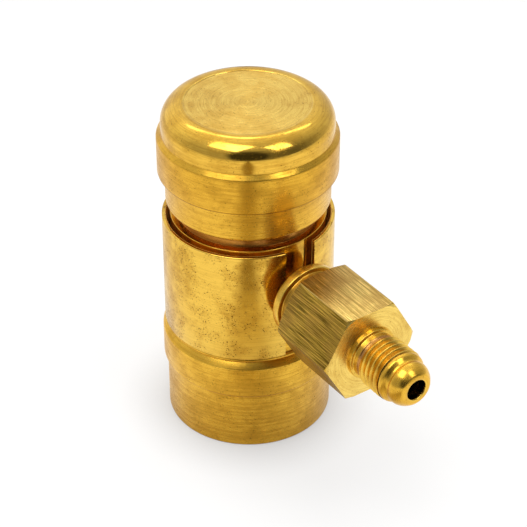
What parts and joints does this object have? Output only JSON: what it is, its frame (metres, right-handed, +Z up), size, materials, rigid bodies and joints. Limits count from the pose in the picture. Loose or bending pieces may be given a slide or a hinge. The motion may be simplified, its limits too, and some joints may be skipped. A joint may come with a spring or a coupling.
{
  "type": "refrigerant quick coupler",
  "caption": "Brass refrigerant quick coupler with a domed screw cap, a slotted sliding lock sleeve and a hexagon side port with a male flare end.",
  "frame": {"origin": "centre of the socket's mouth, on the face that the coupler stands on", "axes": "+Z up along the body's axis from the socket to the cap; the side port points towards +X and -Y"},
  "size_m": [0.0534, 0.0672, 0.0748],
  "materials": {
    "cap_brass": "polished, turned",
    "body_brass": "turned, tarnished",
    "collar_brass": "turned",
    "sleeve_brass": "polished, speckled",
    "adapter_brass": "brushed",
    "valve_brass": "turned",
    "wire_brass": "drawn",
    "spring_steel": "drawn",
    "ball_steel": "polished",
    "black_rubber": "matt",
    "white_plastic": "matt"
  },
  "bodies": {
    "body": {"valve_body": "body_brass", "end_cap": "cap_brass", "cap_gasket": "white_plastic", "hex_adapter": "adapter_brass", "adapter_seal": "black_rubber", "collar_spring": "spring_steel", "spring_washer": "spring_steel", "stop_ring": "spring_steel", "locking_balls": "ball_steel", "nose_seal": "black_rubber", "seal_backup_ring": "white_plastic", "valve_seat": "valve_brass", "poppet_spring": "spring_steel", "stem_guide": "valve_brass", "guide_ring": "spring_steel"},
    "shell": {"lock_collar": "collar_brass", "slotted_sleeve": "sleeve_brass", "sleeve_ring": "wire_brass"},
    "valve": {"poppet": "valve_brass", "poppet_seal": "black_rubber"}
  },
  "joints": [
    {"name": "collar_slide", "type": "slide", "parent": "body", "child": "shell", "axis": [0, 0, 1], "range_m": [0, 0.0033], "stiffness_N_per_m": 1500, "springref_m": -0.006, "deforming": ["collar_spring"]},
    {"name": "poppet_lift", "type": "slide", "parent": "body", "child": "valve", "axis": [0, 0, 1], "range_m": [0, 0.003], "stiffness_N_per_m": 800, "springref_m": -0.004, "deforming": ["poppet_spring"]}
  ]
}
